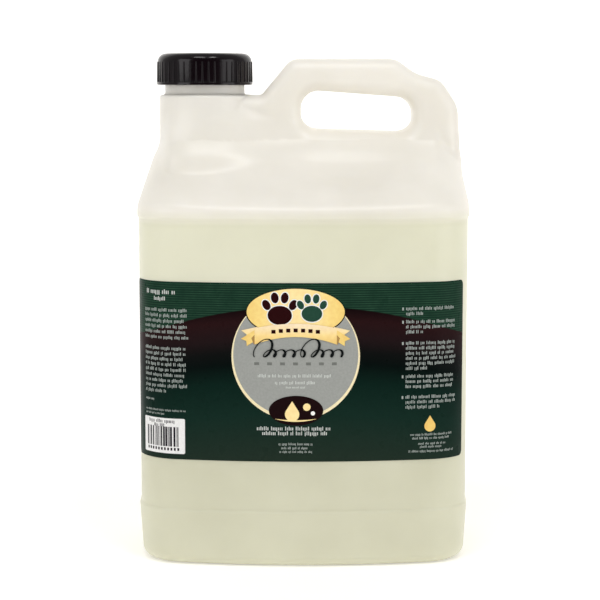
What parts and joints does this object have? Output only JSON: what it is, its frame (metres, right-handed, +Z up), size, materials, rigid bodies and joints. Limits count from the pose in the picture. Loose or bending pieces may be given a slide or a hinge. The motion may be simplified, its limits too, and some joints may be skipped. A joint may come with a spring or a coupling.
{
  "type": "shampoo jug",
  "caption": "Flat-sided plastic jug of pet shampoo with a through handle, a ribbed screw cap on an offset neck, a wrap label and a bar-code sticker.",
  "frame": {"origin": "middle of the base, on the surface the jug stands on", "axes": "+X to the viewer's right with the neck on the left, -Y is the labelled front, +Z up"},
  "size_m": [0.19, 0.1216, 0.288],
  "materials": {
    "natural_hdpe": "translucent natural polyethylene with a fine satin skin",
    "cap_plastic": "near-black moulded polypropylene, satin gloss",
    "liner_foam": "matt closed-cell foam",
    "label_film": "printed film with a semi-gloss varnish",
    "sticker_paper": "matt coated paper",
    "shampoo_liquid": "pale yellow-green pearly liquid"
  },
  "bodies": {
    "bottle": {"bottle": "natural_hdpe", "front_label": "label_film", "barcode_sticker": "sticker_paper", "shampoo": "shampoo_liquid"},
    "liner": {"cap_liner": "liner_foam"},
    "cap": {"cap": "cap_plastic"}
  },
  "joints": [
    {"name": "cap_lift", "type": "slide", "parent": "bottle", "child": "liner", "axis": [0, 0, 1], "range_m": [0, 0.01905]},
    {"name": "cap_turn", "type": "hinge", "parent": "liner", "child": "cap", "pos_m": [-0.0569, 0, 0.279], "axis": [0, 0, 1], "range_deg": [0, 1620]}
  ],
  "couplings": [
    {"joint": "cap_lift", "follows": "cap_turn", "m_per_rad": 0.00067375}
  ]
}
